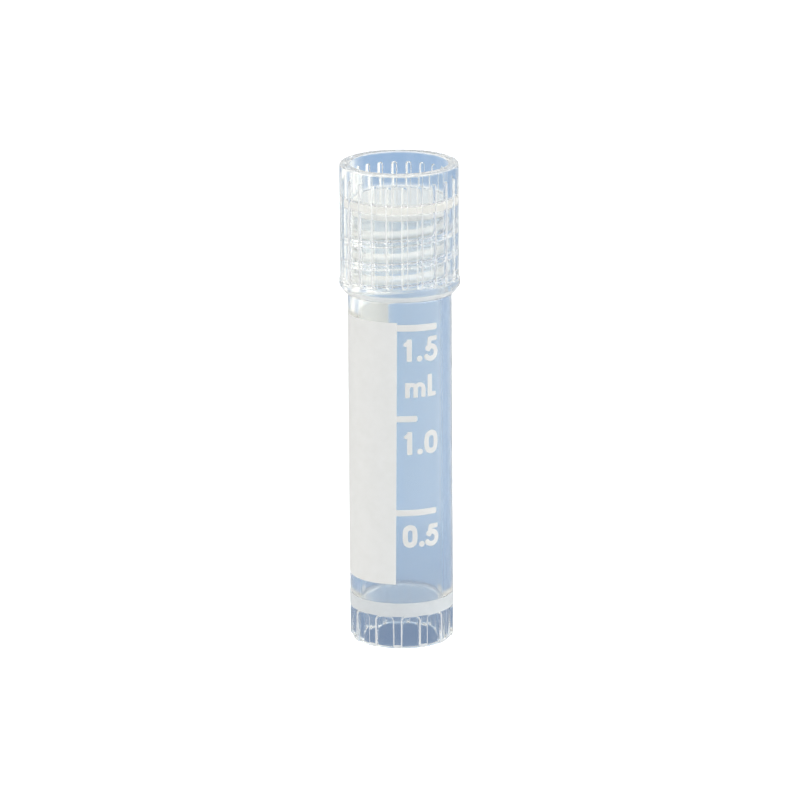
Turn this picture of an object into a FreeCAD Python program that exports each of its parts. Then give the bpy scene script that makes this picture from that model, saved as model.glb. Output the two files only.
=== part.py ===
import FreeCAD, Part
import os

import Sketcher

# A screw-capped storage vial for small liquid samples, in millimetres.
# +Z is up, the origin is in the middle of the face that the foot stands on,
# and the printed scale side of the tube faces -Y.
#
#   vial_body       one clear moulding: ribbed foot, tube, neck with its outside thread
#   screw_cap       one clear moulding: fluted skirt with the inside thread, open top well
#   sealing_gasket  soft disc between the cap's web and the mouth of the tube

App = FreeCAD
doc = FreeCAD.newDocument("sample_vial")

# ---------------------------------------------------------------- dimensions
# alias, value, what it is
ROWS = [
    # tube
    ("body_radius", 5.125, "outside radius of the tube and the foot"),
    ("bore_radius", 4.08, "inside radius of the tube"),
    ("floor_height", 4.4, "height of the inside floor above the foot"),
    ("floor_corner", 0.15, "inside corner radius between floor and bore"),
    ("shoulder_height", 35.4, "height of the shoulder under the cap"),
    ("shoulder_round", 0.2, "rounding of the shoulder's outer edge"),
    ("neck_radius", 4.62, "outside radius of the neck between the thread turns"),
    ("mouth_height", 43.55, "height of the mouth, where the gasket seals"),
    ("mouth_round", 0.18, "rounding of the mouth's outer edge"),
    ("mouth_bevel", 0.12, "bevel of the mouth's inner edge"),
    # foot
    ("foot_round", 0.3, "rounding of the foot's lower outer edge"),
    ("well_radius", 3.9, "radius of the hollow under the foot"),
    ("well_depth", 3.6, "depth of the hollow under the foot"),
    ("well_round", 0.3, "corner radius of that hollow"),
    ("pocket_count", 12, "number of recessed panels around the foot"),
    ("pocket_width", 1.72, "width of each panel"),
    ("pocket_height", 3.27, "height of each panel's upper end"),
    ("pocket_corner", 0.38, "corner radius of the panel's upper end"),
    ("pocket_flare", 0.34, "rounding of the ribs' lower ends"),
    ("pocket_floor", 4.84, "distance of the panels' floor from the axis"),
    ("pocket_turn", 10.1, "angle of the first panel from the front, degrees"),
    # thread
    ("thread_pitch", 2.25, "rise of the thread in one turn"),
    ("thread_radius", 5.02, "crest radius of the thread on the neck"),
    ("thread_base", 1.1, "axial width of that thread at the neck"),
    ("thread_crest", 0.56, "axial width of that thread at its crest"),
    ("thread_turns", 2.875, "length of that thread in turns"),
    ("thread_start", 36.24, "height where that thread starts"),
    ("thread_turn", 45, "angle where it starts, degrees from +X"),
    ("thread_root", 0.12, "how deep the ridges are rooted in their walls"),
    # cap
    ("cap_radius", 5.86, "outside radius of the cap's skirt"),
    ("cap_height", 48.3, "height of the cap's rim"),
    ("cap_bottom", 35.5, "height of the cap's lower edge"),
    ("cap_bore", 5.1, "inside radius of the skirt between the thread turns"),
    ("cap_foot_radius", 5.46, "outside radius of the skirt's lower edge"),
    ("bead_radius", 5.96, "radius of the plain bead around the skirt's foot"),
    ("bead_low", 36.12, "height of the bead's lower edge"),
    ("bead_high", 36.72, "height of the bead's upper edge"),
    ("bead_blend", 0.12, "height over which the bead runs out"),
    ("lead_bevel", 0.15, "bevel at the skirt's mouth"),
    ("web_under", 44.2, "underside of the cap's web"),
    ("web_top", 44.85, "top of the web, the floor of the cap's well"),
    ("cup_radius", 4.8, "inside radius of the cap's well"),
    ("cup_corner", 0.4, "corner radius at the floor of the well"),
    ("rim_round", 0.22, "rounding of the rim's outer edge"),
    ("rim_inner", 0.16, "rounding of the rim's inner edge"),
    ("flute_count", 24, "number of grip flutes around the cap"),
    ("flute_tool", 0.31, "radius of the flutes' section"),
    ("flute_axis", 5.93, "distance of a flute's own axis from the cap's axis"),
    ("flute_low", 36.84, "height of the flutes' lower ends"),
    ("flute_high", 47.16, "height of the flutes' upper ends"),
    ("flute_turn", 5, "angle of the first flute, degrees from +X"),
    ("lug_radius", 4.72, "crest radius of the thread inside the cap"),
    ("lug_base", 0.84, "axial width of that thread at the skirt"),
    ("lug_crest", 0.36, "axial width of that thread at its crest"),
    ("lug_turns", 2.75, "length of that thread in turns"),
    ("lug_start", 36.2375, "height where that thread starts"),
    ("lug_turn", 180, "angle where it starts, degrees from +X"),
    # gasket
    ("gasket_radius", 4.94, "radius of the sealing disc"),
    ("gasket_round", 0.1, "rounding of its edge"),
]

sheet = doc.addObject("Spreadsheet::Sheet", "Dimensions")
sheet.Label = "Dimensions"
sheet.set("A1", "what it is")
sheet.set("B1", "value")
for n, (alias, value, note) in enumerate(ROWS, start=2):
    sheet.set("A%d" % n, note)
    sheet.set("B%d" % n, repr(value))
    sheet.setAlias("B%d" % n, alias)
doc.recompute()


class Dim:
    """A size that knows its number and the sheet expression that gives it."""

    def __init__(self, value, text):
        self.value = float(value)
        self.text = text

    @staticmethod
    def of(other):
        return other if isinstance(other, Dim) else Dim(other, repr(other))

    def __add__(self, other):
        other = Dim.of(other)
        return Dim(self.value + other.value, "(%s + %s)" % (self.text, other.text))

    def __sub__(self, other):
        other = Dim.of(other)
        return Dim(self.value - other.value, "(%s - %s)" % (self.text, other.text))

    def __mul__(self, other):
        other = Dim.of(other)
        return Dim(self.value * other.value, "(%s * %s)" % (self.text, other.text))

    def __truediv__(self, other):
        other = Dim.of(other)
        return Dim(self.value / other.value, "(%s / %s)" % (self.text, other.text))

    def __neg__(self):
        return Dim(-self.value, "(-%s)" % self.text)


D = {alias: Dim(value, "Dimensions.%s" % alias) for alias, value, _ in ROWS}
ZERO = Dim(0.0, "0")


def plane(body, role):
    for feature in body.Origin.OriginFeatures:
        if feature.Role == role:
            return feature
    raise RuntimeError("no %s in %s" % (role, body.Label))


def new_body(label):
    body = doc.addObject("PartDesign::Body", label)
    body.Label = label
    return body


def new_sketch(body, name, role="XZ_Plane"):
    sketch = body.newObject("Sketcher::SketchObject", name)
    sketch.AttachmentSupport = [(plane(body, role), "")]
    sketch.MapMode = "FlatFace"
    return sketch


def turn_sketch(sketch, angle, offset=None):
    """Turn a sketch of the XZ plane about the Z axis, and move it along its own normal."""
    sketch.AttachmentOffset = App.Placement(
        App.Vector(0, 0, 0), App.Rotation(App.Vector(0, 1, 0), angle.value)
    )
    sketch.setExpression("AttachmentOffset.Rotation.Angle", angle.text)
    if offset is not None:
        sketch.setExpression(
            "AttachmentOffset.Base.x", "%s * sin(%s)" % (offset.text, angle.text)
        )
        sketch.setExpression(
            "AttachmentOffset.Base.z", "%s * cos(%s)" % (offset.text, angle.text)
        )


def outline(sketch, points):
    """Draw a closed outline and tie every corner to the sheet.

    points: (x, y) or (x, y, radius, side): the edge that leaves the corner is then an
    arc of that radius, whose centre is on the given side ("left" or "right") of the
    way that the outline runs.
    """
    count = len(points)
    for i, point in enumerate(points):
        x1, y1 = point[0].value, point[1].value
        nxt = points[(i + 1) % count]
        x2, y2 = nxt[0].value, nxt[1].value
        a, b = App.Vector(x1, y1, 0), App.Vector(x2, y2, 0)
        if len(point) == 2:
            sketch.addGeometry(Part.LineSegment(a, b), False)
            continue
        radius, side = point[2].value, point[3]
        chord = b.sub(a)
        half = chord.Length / 2.0
        rise = max(radius * radius - half * half, 0.0) ** 0.5
        left = App.Vector(-chord.y, chord.x, 0).normalize()
        sign = 1.0 if side == "left" else -1.0
        centre = a.add(chord.multiply(0.5)).add(left.multiply(sign * rise))
        out = a.add(b).multiply(0.5).sub(centre)
        if out.Length < 1e-9:
            out = App.Vector(left.x, left.y, 0).multiply(-sign)
        middle = centre.add(out.normalize().multiply(radius))
        arc = Part.Arc(a, middle, b)
        sketch.addGeometry(arc, False)

    def start(i):
        """The end of geometry i that lies on corner i."""
        geo = sketch.Geometry[i]
        corner = App.Vector(points[i][0].value, points[i][1].value, 0)
        first = sketch.getPoint(i, 1)
        return 1 if first.sub(corner).Length < 1e-6 else 2

    ends = [start(i) for i in range(count)]
    for i in range(count):
        j = (i + 1) % count
        sketch.addConstraint(Sketcher.Constraint("Coincident", i, 3 - ends[i], j, ends[j]))
    for i, point in enumerate(points):
        for kind, axis, size in (("DistanceX", -2, point[0]), ("DistanceY", -1, point[1])):
            if size is ZERO:
                sketch.addConstraint(
                    Sketcher.Constraint("PointOnObject", i, ends[i], axis)
                )
                continue
            index = sketch.addConstraint(
                Sketcher.Constraint(kind, -1, 1, i, ends[i], size.value)
            )
            sketch.setExpression("Constraints[%d]" % index, size.text)
        if len(point) > 2:
            index = sketch.addConstraint(
                Sketcher.Constraint("Radius", i, point[2].value)
            )
            sketch.setExpression("Constraints[%d]" % index, point[2].text)


def revolve(body, name, sketch):
    feature = body.newObject("PartDesign::Revolution", name)
    feature.Profile = sketch
    feature.ReferenceAxis = (sketch, ["V_Axis"])
    feature.Angle = 360.0
    return feature


def polar(body, name, original, count):
    pattern = body.newObject("PartDesign::PolarPattern", name)
    pattern.Originals = [original]
    pattern.Axis = (plane(body, "Z_Axis"), [""])
    pattern.Angle = 360.0
    pattern.Occurrences = int(count.value)
    pattern.setExpression("Occurrences", count.text)
    body.Tip = pattern
    return pattern


def helix(body, name, sketch, turns):
    feature = body.newObject("PartDesign::AdditiveHelix", name)
    feature.Profile = sketch
    feature.ReferenceAxis = (plane(body, "Z_Axis"), [""])
    feature.Mode = "pitch-turns-angle"
    feature.HasBeenEdited = True
    feature.setExpression("Pitch", D["thread_pitch"].text)
    feature.setExpression("Turns", turns.text)
    feature.Angle = 0.0
    feature.LeftHanded = False
    feature.Reversed = False
    body.Tip = feature
    return feature


def settle(step, feature, grows):
    """Recompute and see that the feature changed its body's volume the right way."""
    doc.recompute()
    volume = feature.Shape.Volume
    if grows is not None:
        before = feature.BaseFeature.Shape.Volume
        if (volume - before) * grows <= 1e-6:
            raise RuntimeError("%s changed nothing: %.4f to %.4f" % (step, before, volume))
    print("%-18s volume %.3f mm3" % (step, volume))
    return volume


# ---------------------------------------------------------------- the vial
vial = new_body("vial_body")

profile = new_sketch(vial, "vial_profile")
R, B, N = D["body_radius"], D["bore_radius"], D["neck_radius"]
fr, sr, mr = D["foot_round"], D["shoulder_round"], D["mouth_round"]
outline(
    profile,
    [
        (ZERO, D["well_depth"]),
        (D["well_radius"] - D["well_round"], D["well_depth"], D["well_round"], "right"),
        (D["well_radius"], D["well_depth"] - D["well_round"]),
        (D["well_radius"], ZERO),
        (R - fr, ZERO, fr, "left"),
        (R, fr),
        (R, D["shoulder_height"] - sr, sr, "left"),
        (R - sr, D["shoulder_height"]),
        (N, D["shoulder_height"]),
        (N, D["mouth_height"] - mr, mr, "left"),
        (N - mr, D["mouth_height"]),
        (B + D["mouth_bevel"], D["mouth_height"]),
        (B, D["mouth_height"] - D["mouth_bevel"]),
        (B, D["floor_height"] + D["floor_corner"], D["floor_corner"], "right"),
        (B - D["floor_corner"], D["floor_height"]),
        (ZERO, D["floor_height"]),
    ],
)
vial_blank = revolve(vial, "vial_blank", profile)
vial.Tip = vial_blank
settle("vial blank", vial_blank, None)

# The foot's recessed panels, open below, leave twelve ribs whose lower ends are round.
panel = new_sketch(vial, "foot_panel")
turn_sketch(panel, D["pocket_turn"], D["pocket_floor"])
hw = D["pocket_width"] / 2.0
pc, pf, ph = D["pocket_corner"], D["pocket_flare"], D["pocket_height"]
below = Dim(-0.5, "-0.5")
outline(
    panel,
    [
        (-(hw + pf), below),
        (hw + pf, below),
        (hw + pf, ZERO, pf, "right"),
        (hw, pf),
        (hw, ph - pc, pc, "left"),
        (hw - pc, ph),
        (-(hw - pc), ph, pc, "left"),
        (-hw, ph - pc),
        (-hw, pf, pf, "right"),
        (-(hw + pf), ZERO),
    ],
)
foot_cut = vial.newObject("PartDesign::Pocket", "foot_cut")
foot_cut.Profile = panel
foot_cut.Type = "Length"
foot_cut.Length = 1.0
foot_cut.Reversed = True
vial.Tip = foot_cut
settle("first panel", foot_cut, -1)
foot_ribs = polar(vial, "foot_ribs", foot_cut, D["pocket_count"])
settle("all panels", foot_ribs, -1)

# The thread on the neck: one right-handed start.
ridge = new_sketch(vial, "thread_section")
turn_sketch(ridge, D["thread_turn"])
tb, tc, ts = D["thread_base"] / 2.0, D["thread_crest"] / 2.0, D["thread_start"]
outline(
    ridge,
    [
        (N - D["thread_root"], ts - tb),
        (N, ts - tb),
        (D["thread_radius"], ts - tc),
        (D["thread_radius"], ts + tc),
        (N, ts + tb),
        (N - D["thread_root"], ts + tb),
    ],
)
neck_thread = helix(vial, "neck_thread", ridge, D["thread_turns"])
settle("neck thread", neck_thread, +1)

# ---------------------------------------------------------------- the cap
cap = new_body("screw_cap")

section = new_sketch(cap, "cap_profile")
C, H, Q = D["cap_radius"], D["cap_height"], D["cup_radius"]
ro, ri, cc = D["rim_round"], D["rim_inner"], D["cup_corner"]
outline(
    section,
    [
        (ZERO, D["web_under"]),
        (D["cap_bore"], D["web_under"]),
        (D["cap_bore"], D["cap_bottom"] + D["lead_bevel"]),
        (D["cap_bore"] + D["lead_bevel"], D["cap_bottom"]),
        (D["cap_foot_radius"], D["cap_bottom"]),
        (D["bead_radius"], D["bead_low"]),
        (D["bead_radius"], D["bead_high"]),
        (C, D["bead_high"] + D["bead_blend"]),
        (C, H - ro, ro, "left"),
        (C - ro, H),
        (Q + ri, H, ri, "left"),
        (Q, H - ri),
        (Q, D["web_top"] + cc, cc, "right"),
        (Q - cc, D["web_top"]),
        (ZERO, D["web_top"]),
    ],
)
cap_blank = revolve(cap, "cap_blank", section)
cap.Tip = cap_blank
settle("cap blank", cap_blank, None)

# Grip flutes: each one is cut by a round-ended rod that turns about its own axis.
rod = new_sketch(cap, "flute_section")
turn_sketch(rod, D["flute_turn"])
fa, ft, lo, hi = D["flute_axis"], D["flute_tool"], D["flute_low"], D["flute_high"]
outline(
    rod,
    [
        (fa, lo, ft, "left"),
        (fa + ft, lo + ft),
        (fa + ft, hi - ft, ft, "left"),
        (fa, hi),
    ],
)
axis_line = rod.addGeometry(
    Part.LineSegment(App.Vector(fa.value, lo.value, 0), App.Vector(fa.value, hi.value, 0)),
    True,
)
rod.addConstraint(Sketcher.Constraint("Coincident", axis_line, 1, 0, 1 if rod.getPoint(0, 1).sub(App.Vector(fa.value, lo.value, 0)).Length < 1e-6 else 2))
rod.addConstraint(Sketcher.Constraint("Coincident", axis_line, 2, 3, 1 if rod.getPoint(3, 1).sub(App.Vector(fa.value, hi.value, 0)).Length < 1e-6 else 2))
flute = cap.newObject("PartDesign::Groove", "flute")
flute.Profile = rod
flute.ReferenceAxis = (rod, ["Axis0"])
flute.Angle = 360.0
cap.Tip = flute
settle("first flute", flute, -1)
flutes = polar(cap, "flutes", flute, D["flute_count"])
settle("all flutes", flutes, -1)

# The thread inside the skirt runs below the neck's thread and bears up against it.
lug = new_sketch(cap, "lug_section")
turn_sketch(lug, D["lug_turn"])
lb, lc, ls = D["lug_base"] / 2.0, D["lug_crest"] / 2.0, D["lug_start"]
outline(
    lug,
    [
        (D["cap_bore"] + D["thread_root"], ls - lb),
        (D["cap_bore"] + D["thread_root"], ls + lb),
        (D["cap_bore"], ls + lb),
        (D["lug_radius"], ls + lc),
        (D["lug_radius"], ls - lc),
        (D["cap_bore"], ls - lb),
    ],
)
cap_thread = helix(cap, "cap_thread", lug, D["lug_turns"])
settle("cap thread", cap_thread, +1)

# ---------------------------------------------------------------- the gasket
gasket = new_body("sealing_gasket")
disc = new_sketch(gasket, "gasket_profile")
G, gr = D["gasket_radius"], D["gasket_round"]
outline(
    disc,
    [
        (ZERO, D["mouth_height"]),
        (G - gr, D["mouth_height"], gr, "left"),
        (G, D["mouth_height"] + gr),
        (G, D["web_under"] - gr, gr, "left"),
        (G - gr, D["web_under"]),
        (ZERO, D["web_under"]),
    ],
)
gasket_disc = revolve(gasket, "gasket_disc", disc)
gasket.Tip = gasket_disc
settle("gasket", gasket_disc, None)

doc.recompute()

# ---------------------------------------------------------------- checks and files
SUBPARTS = [vial, cap, gasket]

for obj in doc.Objects:
    if any(word in obj.State for word in ("Invalid", "Error")):
        raise RuntimeError("%s is %s" % (obj.Label, obj.State))

for body in SUBPARTS:
    shape = body.Shape
    if shape.isNull() or not shape.isValid() or len(shape.Solids) != 1:
        raise RuntimeError("%s has no single valid solid" % body.Label)
    box = shape.BoundBox
    print(
        "%-16s %9.3f mm3  x %.3f..%.3f  y %.3f..%.3f  z %.3f..%.3f  faces %d"
        % (body.Label, shape.Volume, box.XMin, box.XMax, box.YMin, box.YMax, box.ZMin, box.ZMax, len(shape.Faces))
    )

os.makedirs("parts", exist_ok=True)
for body in SUBPARTS:
    body.Shape.exportStep(os.path.join("parts", body.Label + ".step"))
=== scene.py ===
import math

import bpy
import numpy as np
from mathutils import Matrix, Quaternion, Vector


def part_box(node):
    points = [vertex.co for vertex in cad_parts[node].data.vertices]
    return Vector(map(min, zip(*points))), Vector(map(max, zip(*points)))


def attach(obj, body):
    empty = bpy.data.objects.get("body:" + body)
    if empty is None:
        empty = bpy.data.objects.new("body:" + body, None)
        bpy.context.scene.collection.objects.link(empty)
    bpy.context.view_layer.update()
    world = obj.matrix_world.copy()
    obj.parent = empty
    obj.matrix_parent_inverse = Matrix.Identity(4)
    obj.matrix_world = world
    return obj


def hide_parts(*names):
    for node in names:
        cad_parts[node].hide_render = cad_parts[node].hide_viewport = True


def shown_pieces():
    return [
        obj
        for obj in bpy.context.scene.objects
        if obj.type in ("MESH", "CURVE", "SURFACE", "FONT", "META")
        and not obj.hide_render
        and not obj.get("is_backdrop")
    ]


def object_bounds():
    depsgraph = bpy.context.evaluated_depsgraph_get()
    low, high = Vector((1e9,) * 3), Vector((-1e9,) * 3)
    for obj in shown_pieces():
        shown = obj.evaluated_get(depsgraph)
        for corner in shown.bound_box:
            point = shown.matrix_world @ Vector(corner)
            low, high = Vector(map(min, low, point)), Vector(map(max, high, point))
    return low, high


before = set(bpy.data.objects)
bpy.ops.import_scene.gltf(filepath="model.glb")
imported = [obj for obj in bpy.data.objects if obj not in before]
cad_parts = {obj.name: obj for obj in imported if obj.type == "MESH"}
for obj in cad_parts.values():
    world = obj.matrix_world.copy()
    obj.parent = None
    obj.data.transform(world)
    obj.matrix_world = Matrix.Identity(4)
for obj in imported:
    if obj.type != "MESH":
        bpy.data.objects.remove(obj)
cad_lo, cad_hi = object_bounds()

# Looks of a screw-capped storage vial. Sizes below are in millimetres, in the frame of
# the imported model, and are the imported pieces' own sizes; meshes are written in metres.
# An angle "phi" is 0 at the front (-Y) and grows towards +X.
MM = 0.001

# ------------------------------------------------------------------ sizes
# tube and foot
R_BODY, R_BORE, R_NECK = 5.125, 4.08, 4.62
Z_FLOOR, FLOOR_CORNER = 4.4, 0.15
Z_SHOULDER, SHOULDER_ROUND = 35.4, 0.2
Z_MOUTH, MOUTH_ROUND, MOUTH_BEVEL = 43.55, 0.18, 0.12
FOOT_ROUND, R_WELL, Z_WELL, WELL_ROUND = 0.3, 3.9, 3.6, 0.3
PANELS, PANEL_W, PANEL_H = 12, 1.72, 3.27
PANEL_CORNER, PANEL_FLARE, PANEL_FLOOR, PANEL_TURN = 0.38, 0.34, 4.84, 10.1
# threads
PITCH = 2.25
NECK_T = dict(tip=5.02, base=1.1, crest=0.56, z=36.24, phi=-225.0, turns=2.875)
CAP_T = dict(tip=4.72, base=0.84, crest=0.36, z=36.2375, phi=-90.0, turns=2.75)
# cap
R_CAP, Z_CAP, Z_SKIRT, R_SKIRT = 5.86, 48.3, 35.5, 5.1
R_CAP_FOOT, R_BEAD, Z_BEAD0, Z_BEAD1, BEAD_BLEND, LEAD = 5.46, 5.96, 36.12, 36.72, 0.12, 0.15
Z_WEB0, Z_WEB1, R_CUP, CUP_CORNER = 44.2, 44.85, 4.8, 0.4
RIM_OUT, RIM_IN = 0.22, 0.16
FLUTES, FLUTE_R, FLUTE_AXIS, FLUTE_Z0, FLUTE_Z1, FLUTE_TURN = 24, 0.31, 5.93, 36.84, 47.16, 5.0
# gasket
R_GASKET, GASKET_ROUND = 4.94, 0.1

for node, radius, z0, z1 in (
    ("vial_body", R_BODY, 0.0, Z_MOUTH),
    ("screw_cap", R_BEAD, Z_SKIRT, Z_CAP),
    ("sealing_gasket", R_GASKET, Z_MOUTH, Z_WEB0),
):
    lo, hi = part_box(node)
    found = (hi.x / MM, lo.z / MM, hi.z / MM)
    if max(abs(a - b) for a, b in zip(found, (radius, z0, z1))) > 0.05:
        raise RuntimeError("%s is %s in the frame, not %s" % (node, found, (radius, z0, z1)))


# ------------------------------------------------------------------ small tools
def smooth(t):
    t = np.clip(t, 0.0, 1.0)
    return t * t * (3.0 - 2.0 * t)


def soft_min(a, b, k):
    t = np.maximum(k - np.abs(a - b), 0.0) / k
    return np.minimum(a, b) - t * t * k * 0.25


def soft_max(a, b, k):
    return -soft_min(-np.asarray(a), -np.asarray(b), k)


def steps(a, b, pitch, guard=0.03):
    """Points from a to b, ends included, with one more close to each end, so that the
    smooth shading of a rounded corner doesn't run out over the straight part."""
    length = abs(b - a)
    if length < 4 * guard:
        return np.linspace(a, b, 3)
    count = max(1, int(math.ceil((length - 2 * guard) / pitch)))
    way = 1.0 if b > a else -1.0
    inner = np.linspace(a + way * guard, b - way * guard, count + 1)
    return np.concatenate([[a], inner, [b]])


def arc(cx, cz, radius, start, end, count):
    """Points (r, z) of an arc; angles in degrees, 0 along +r and 90 along +z."""
    t = np.radians(np.linspace(start, end, count + 1))
    return [(cx + radius * math.cos(x), cz + radius * math.sin(x)) for x in t]


def joined(*parts):
    """One list of (r, z) with points that repeat left out."""
    out = []
    for part in parts:
        for p in part:
            if not out or math.hypot(p[0] - out[-1][0], p[1] - out[-1][1]) > 1e-6:
                out.append((float(p[0]), float(p[1])))
    return out


class Skin:
    """A closed surface of rings about the Z axis, built from its underside to its top."""

    def __init__(self):
        self.points, self.faces, self.zones = [], [], []
        self.count, self.last, self.zone = 0, None, 0
        self.paint = None  # gives the zones of the faces between two like rings

    def _add(self, xyz):
        first = self.count
        self.points.append(xyz)
        self.count += len(xyz)
        return first

    def pole(self, z):
        """A point on the axis: the first thing or the last thing."""
        first = self._add(np.array([[0.0, 0.0, z]]))
        if self.last is not None:
            ids = self.last[0]
            for i in range(len(ids)):
                self.faces.append((ids[i], ids[(i + 1) % len(ids)], first))
                self.zones.append(self.zone)
            self.last = None
        else:
            self.start = first
            self.last = "pole"

    def ring(self, phi, r, z):
        phi = np.asarray(phi, float)
        r = np.broadcast_to(np.asarray(r, float), phi.shape)
        z = np.broadcast_to(np.asarray(z, float), phi.shape)
        a = np.radians(phi)
        xyz = np.stack([r * np.sin(a), -r * np.cos(a), z], axis=1)
        first = self._add(xyz)
        ids = list(range(first, first + len(phi)))
        n = len(ids)
        if self.last == "pole":
            for i in range(n):
                self.faces.append((ids[(i + 1) % n], ids[i], self.start))
                self.zones.append(self.zone)
        elif self.last is not None:
            old, old_phi, old_z = self.last
            if len(old) == n:
                zones = [self.zone] * n
                if self.paint is not None:
                    step = (np.roll(phi, -1) - phi) % 360.0
                    zones = self.paint(phi + step / 2, (z[0] + old_z) / 2).tolist()
                for i in range(n):
                    j = (i + 1) % n
                    self.faces.append((old[i], old[j], ids[j], ids[i]))
                self.zones += zones
            else:
                self._bridge(old, old_phi, ids, phi)
        self.last = (ids, phi, z[0])

    def _bridge(self, a, pa, b, pb):
        """Triangles between two rings that have different numbers of points."""
        i = j = 0
        na, nb = len(a), len(b)
        pa = np.append(pa, pa[0] + 360.0)
        pb = np.append(pb, pb[0] + 360.0)
        while i < na or j < nb:
            if j >= nb or (i < na and pa[i + 1] <= pb[j + 1]):
                self.faces.append((a[i], a[(i + 1) % na], b[j % nb]))
                i += 1
            else:
                self.faces.append((a[i % na], b[(j + 1) % nb], b[j]))
                j += 1
            self.zones.append(self.zone)

    def rings(self, phi, profile):
        for r, z in profile:
            self.ring(phi, r, z)

    def build(self, name):
        return build_mesh(name, np.concatenate(self.points), self.faces, self.zones)


def build_mesh(name, points_mm, faces, zones=None, smooth_shade=True):
    mesh = bpy.data.meshes.new(name)
    mesh.from_pydata((np.asarray(points_mm) * MM).tolist(), [], [tuple(f) for f in faces])
    mesh.validate()
    # the faces point outwards when the volume they enclose is positive
    co = np.empty(len(mesh.vertices) * 3, np.float32)
    mesh.vertices.foreach_get("co", co)
    mesh.calc_loop_triangles()
    tri = np.empty(len(mesh.loop_triangles) * 3, np.int32)
    mesh.loop_triangles.foreach_get("vertices", tri)
    t = co.reshape(-1, 3).astype(float)[tri.reshape(-1, 3)]
    if np.einsum("ij,ij->i", t[:, 0], np.cross(t[:, 1], t[:, 2])).sum() < 0:
        mesh.flip_normals()
    mesh.polygons.foreach_set("use_smooth", [smooth_shade] * len(mesh.polygons))
    if zones is not None:
        mesh.polygons.foreach_set("material_index", list(zones))
    mesh.update()
    obj = bpy.data.objects.new(name, mesh)
    bpy.context.scene.collection.objects.link(obj)
    return obj


def even(count):
    return np.arange(count) * 360.0 / count - 180.0


def repeated(offsets, count, turn):
    """The same pattern of angles in each of count sectors; the result is sorted and
    starts just above -180."""
    half = 180.0 / count
    base = sorted(set([0.0] + [s * o for o in offsets for s in (-1, 1) if o < half - 1e-9] + [-half]))
    every = np.array([turn + 360.0 * k / count + o for k in range(count) for o in base])
    every = (every + 180.0) % 360.0 - 180.0
    return np.sort(every)


def thread_height(phi, z, t, rise):
    """How far a helical ridge stands out at (phi, z)."""
    phi_end = t["phi"] + 360.0 * t["turns"]
    best = np.zeros(np.broadcast(phi, z).shape)
    for k in range(-2, 5):
        a = phi + 360.0 * k
        run = np.minimum(a - t["phi"], phi_end - a)
        fade = smooth(run / 16.0 + 0.3)
        centre = t["z"] + PITCH * (a - t["phi"]) / 360.0
        d = np.clip(np.abs(z - centre) / (t["base"] * 0.54), 0.0, 1.0)
        h = rise * (1.0 - smooth(d) ** 1.2)
        best = np.maximum(best, h * fade)
    return best


# ------------------------------------------------------------------ the vial
def panel_inside(phi, z):
    """How far a point of the foot lies inside a recessed panel's outline."""
    delta = (phi - PANEL_TURN + 180.0 / PANELS) % (360.0 / PANELS) - 180.0 / PANELS
    u = np.abs(5.05 * np.sin(np.radians(delta)))
    hw = PANEL_W / 2
    qx, qz = u - (hw - PANEL_CORNER), z - (PANEL_H - PANEL_CORNER)
    inside = np.where(
        (qx > 0) & (qz > 0),
        PANEL_CORNER - np.hypot(qx, qz),
        np.minimum(hw - u, PANEL_H - z),
    )
    low = np.clip(PANEL_FLARE - z, 0.0, PANEL_FLARE)
    flare = PANEL_FLARE - np.sqrt(np.maximum(PANEL_FLARE**2 - low**2, 0.0))
    return np.where(z < PANEL_FLARE, (hw + flare - u) * 0.8, inside)


def panel_radius(phi, z, blank):
    """The foot's surface with its recessed panels."""
    delta = (phi - PANEL_TURN + 180.0 / PANELS) % (360.0 / PANELS) - 180.0 / PANELS
    plane = PANEL_FLOOR / np.cos(np.radians(delta))
    share = smooth(panel_inside(phi, z) / 0.17 + 0.5)
    return blank - share * np.maximum(blank - plane, 0.0)


# painted highlights: the milky bright edges of ribs and flutes are painted only where the cosine of phi is above
# this, on the front side; behind they stay nearly clear
HIGHLIGHT_FRONT = 0.40  # the brighter edges end this far round from the front (cosine)
# painted highlight: the neck thread's ridges are milky ivory only where the cosine of phi is above this, on the
# front half
RIDGE_HIGHLIGHT_FRONT = 0.0


def foot_zone(phi, z):
    """Clear panels and ribs, and painted highlights: milky white strips along the panels' rounded edges and
    U-shapes at the rib feet, painted only on the front side (HIGHLIGHT_FRONT); behind, the same strips are nearly
    clear."""
    inside = panel_inside(phi, z)
    # the painted highlight strips: along the rounded panel edges, and U-shapes at the rib feet below z 0.42
    edge = (z > 0.03) & ((np.abs(inside + 0.055) < 0.06) | ((inside < 0.0) & (z < 0.42)))
    front = np.cos(np.radians(phi)) > HIGHLIGHT_FRONT
    return np.where(edge, np.where(front, 3, 8), np.where(inside > 0, 4, 7))


def neck_zone(phi, z):
    # painted highlight: the ridge tops stand in for warm lamp light caught on the thread; behind they stay nearly
    # clear
    front = np.cos(np.radians(phi)) > RIDGE_HIGHLIGHT_FRONT
    return np.where(thread_height(phi, z, NECK_T, 1.0) > 0.22, np.where(front, 5, 9), 2)


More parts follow.
